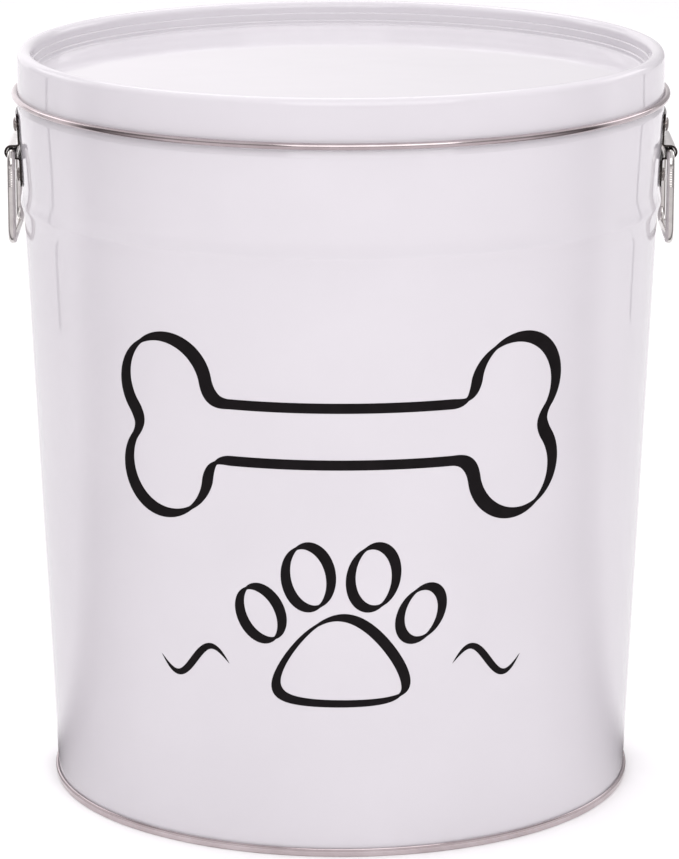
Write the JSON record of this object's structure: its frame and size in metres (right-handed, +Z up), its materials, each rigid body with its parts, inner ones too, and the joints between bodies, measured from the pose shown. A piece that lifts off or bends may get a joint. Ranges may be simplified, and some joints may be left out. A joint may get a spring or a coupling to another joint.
{
  "type": "pet food bin",
  "caption": "Tapered round tin bin for dry pet food, with a slip-over lid that lifts off and wire bail handles in riveted ears.",
  "frame": {"origin": "middle of the foot, on the surface that the bin stands on", "axes": "+Z up along the can's axis, +X through the right-hand ear, -Y towards the printed front"},
  "size_m": [0.3824, 0.376, 0.429],
  "materials": {
    "white_enamel": "gloss white baked enamel on tinplate",
    "bare_tin": "bright bare tinplate",
    "bright_plate": "bright nickel plate on steel",
    "seam_compound": "dull cured sealing compound"
  },
  "bodies": {
    "bin": {"body_shell": "white_enamel", "bottom_end": "bare_tin", "seam_compound": "seam_compound", "right_ear": "bright_plate", "left_ear": "bright_plate", "left_upper_front_rivet": "bright_plate", "left_upper_back_rivet": "bright_plate", "left_lower_front_rivet": "bright_plate", "left_lower_back_rivet": "bright_plate", "right_upper_front_rivet": "bright_plate", "right_upper_back_rivet": "bright_plate", "right_lower_front_rivet": "bright_plate", "right_lower_back_rivet": "bright_plate", "left_upper_front_washer": "bare_tin", "left_upper_back_washer": "bare_tin", "left_lower_front_washer": "bare_tin", "left_lower_back_washer": "bare_tin", "right_upper_front_washer": "bare_tin", "right_upper_back_washer": "bare_tin", "right_lower_front_washer": "bare_tin", "right_lower_back_washer": "bare_tin"},
    "lid": {"lid": "white_enamel"},
    "right_bail": {"right_bail": "bright_plate"},
    "left_bail": {"left_bail": "bright_plate"}
  },
  "joints": [
    {"name": "lid_lift", "type": "slide", "parent": "bin", "child": "lid", "axis": [0, 0, 1], "range_m": [0, 0.2]},
    {"name": "right_bail_swing", "type": "hinge", "parent": "bin", "child": "right_bail", "pos_m": [0.187, 0, 0.372], "axis": [0, -1, 0], "range_deg": [-3, 175]},
    {"name": "left_bail_swing", "type": "hinge", "parent": "bin", "child": "left_bail", "pos_m": [-0.187, 0, 0.372], "axis": [0, 1, 0], "range_deg": [-3, 175]}
  ]
}
